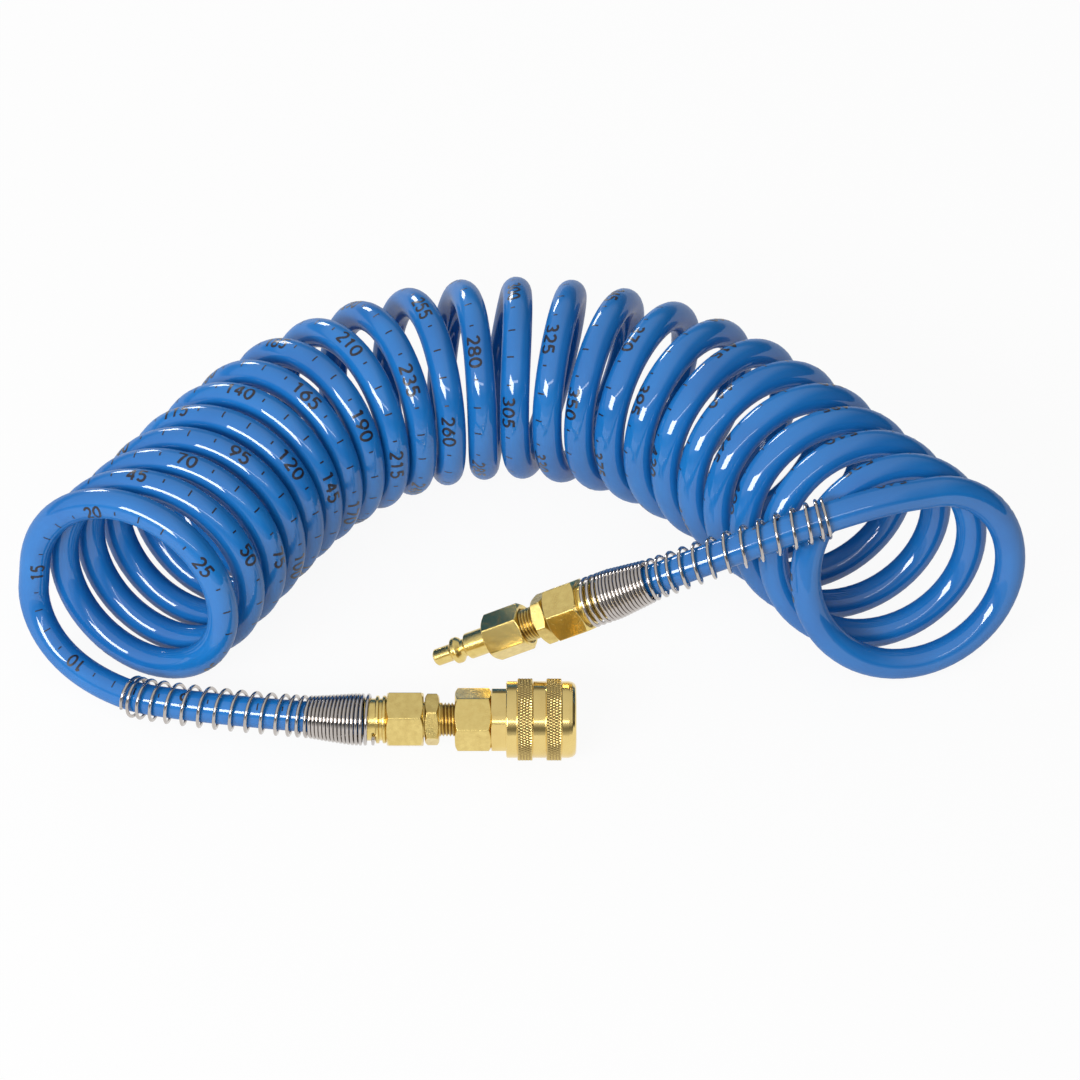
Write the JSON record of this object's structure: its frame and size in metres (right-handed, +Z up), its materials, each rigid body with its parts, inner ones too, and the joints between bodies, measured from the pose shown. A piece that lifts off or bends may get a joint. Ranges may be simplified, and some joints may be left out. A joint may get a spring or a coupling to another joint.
{
  "type": "coiled air hose",
  "caption": "Coiled pneumatic hose bent in an arch, with guard springs, hose nuts, a ball-lock quick coupler with sliding sleeve and a mating plug.",
  "frame": {"origin": "centre of the box round the whole object, on the floor it lies on", "axes": "+Z up, +X along the coupler's axis towards its mouth, -Y towards the open side of the arch, where both fittings lie"},
  "size_m": [0.3976, 0.2258, 0.0886],
  "materials": {
    "hose": "glossy",
    "brass": "satin",
    "nickel_wire": "polished",
    "steel": "polished",
    "seal": "matt"
  },
  "bodies": {
    "hose": {"hose_coil": "hose", "socket_hose_tail": "hose", "plug_hose_tail": "hose", "socket_hose_end": "hose", "plug_hose_end": "hose", "socket_guard_spring": "nickel_wire", "plug_guard_spring": "nickel_wire", "socket_hose_nut": "brass", "plug_hose_nut": "brass", "socket_hose_body": "brass", "plug_hose_body": "brass", "coupler_rear_body": "brass", "coupler_front_body": "brass", "body_seal": "seal", "mouth_seal": "seal", "sleeve_stop_ring": "steel", "valve_spring": "steel", "plug_nipple": "brass"},
    "spring_seat": {"sleeve_spring": "steel"},
    "sleeve": {"lock_sleeve": "brass"},
    "ball_1": {"lock_ball_1": "steel"},
    "ball_2": {"lock_ball_2": "steel"},
    "ball_3": {"lock_ball_3": "steel"},
    "ball_4": {"lock_ball_4": "steel"},
    "valve": {"valve_poppet": "brass", "valve_seal": "seal"}
  },
  "joints": [
    {"name": "sleeve_slide", "type": "slide", "parent": "hose", "child": "spring_seat", "axis": [-1, 0, 0], "range_m": [0, 0.0035], "stiffness_N_per_m": 2000, "deforming": ["sleeve_spring"]},
    {"name": "sleeve_spin", "type": "hinge", "parent": "spring_seat", "child": "sleeve", "pos_m": [0.00765, -0.09704, 0.0159], "axis": [1, 0, 0], "continuous": true},
    {"name": "ball_1_slide", "type": "slide", "parent": "hose", "child": "ball_1", "axis": [0, 0.7071, -0.7071], "range_m": [0, 0.0011]},
    {"name": "ball_2_slide", "type": "slide", "parent": "hose", "child": "ball_2", "axis": [0, 0.7071, 0.7071], "range_m": [0, 0.0011]},
    {"name": "ball_3_slide", "type": "slide", "parent": "hose", "child": "ball_3", "axis": [0, -0.7071, 0.7071], "range_m": [0, 0.0011]},
    {"name": "ball_4_slide", "type": "slide", "parent": "hose", "child": "ball_4", "axis": [0, -0.7071, -0.7071], "range_m": [0, 0.0011]},
    {"name": "valve_slide", "type": "slide", "parent": "hose", "child": "valve", "axis": [-1, 0, 0], "range_m": [0, 0.0035], "stiffness_N_per_m": 1000, "deforming": ["valve_spring"]}
  ],
  "couplings": [
    {"joint": "ball_1_slide", "follows": "sleeve_slide", "ratio": 0.31428},
    {"joint": "ball_2_slide", "follows": "sleeve_slide", "ratio": 0.31428},
    {"joint": "ball_3_slide", "follows": "sleeve_slide", "ratio": 0.31428},
    {"joint": "ball_4_slide", "follows": "sleeve_slide", "ratio": 0.31428}
  ]
}
